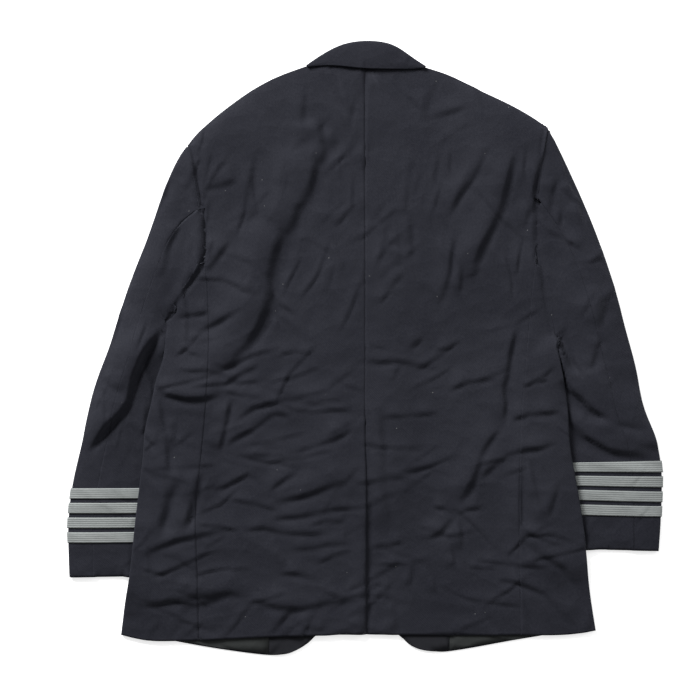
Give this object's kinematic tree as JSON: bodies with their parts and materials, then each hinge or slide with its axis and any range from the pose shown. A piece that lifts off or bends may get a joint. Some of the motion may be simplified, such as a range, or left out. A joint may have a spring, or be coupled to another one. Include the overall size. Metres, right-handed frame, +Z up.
{
  "type": "pilot uniform jacket laid flat face down",
  "caption": "Dark wool pilot uniform jacket laid flat on its front, back up, with sleeves at its sides and silver braid round the cuffs.",
  "frame": {"origin": "on the surface the jacket lies on, below the middle of its laid out outline", "axes": "+Y towards the collar, +X towards the wearer's right sleeve, +Z up out of the back of the jacket"},
  "size_m": [0.8062, 0.8302, 0.0198],
  "materials": {
    "wool": "matte dark navy worsted",
    "lining": "smooth grey lining",
    "braid": "woven silver-grey braid",
    "button": "satin silver metal"
  },
  "bodies": {
    "root": {"back_left": "wool", "back_right": "wool", "braid_left_1": "braid", "braid_left_2": "braid", "braid_left_3": "braid", "braid_left_4": "braid", "braid_right_1": "braid", "braid_right_2": "braid", "braid_right_3": "braid", "braid_right_4": "braid", "button_1": "button", "button_2": "button", "button_3": "button", "collar_fall": "wool", "collar_leaf_left": "wool", "collar_leaf_right": "wool", "collar_stand": "wool", "facing_left": "wool", "facing_right": "wool", "front_left": "wool", "front_right": "wool", "lapel_left": "wool", "lapel_right": "wool", "lining_left": "lining", "lining_right": "lining", "pocket_flap_left": "wool", "pocket_flap_right": "wool", "side_left": "wool", "side_right": "wool", "top_sleeve_left": "wool", "top_sleeve_right": "wool", "under_sleeve_left": "wool", "under_sleeve_right": "wool"}
  },
  "joints": []
}
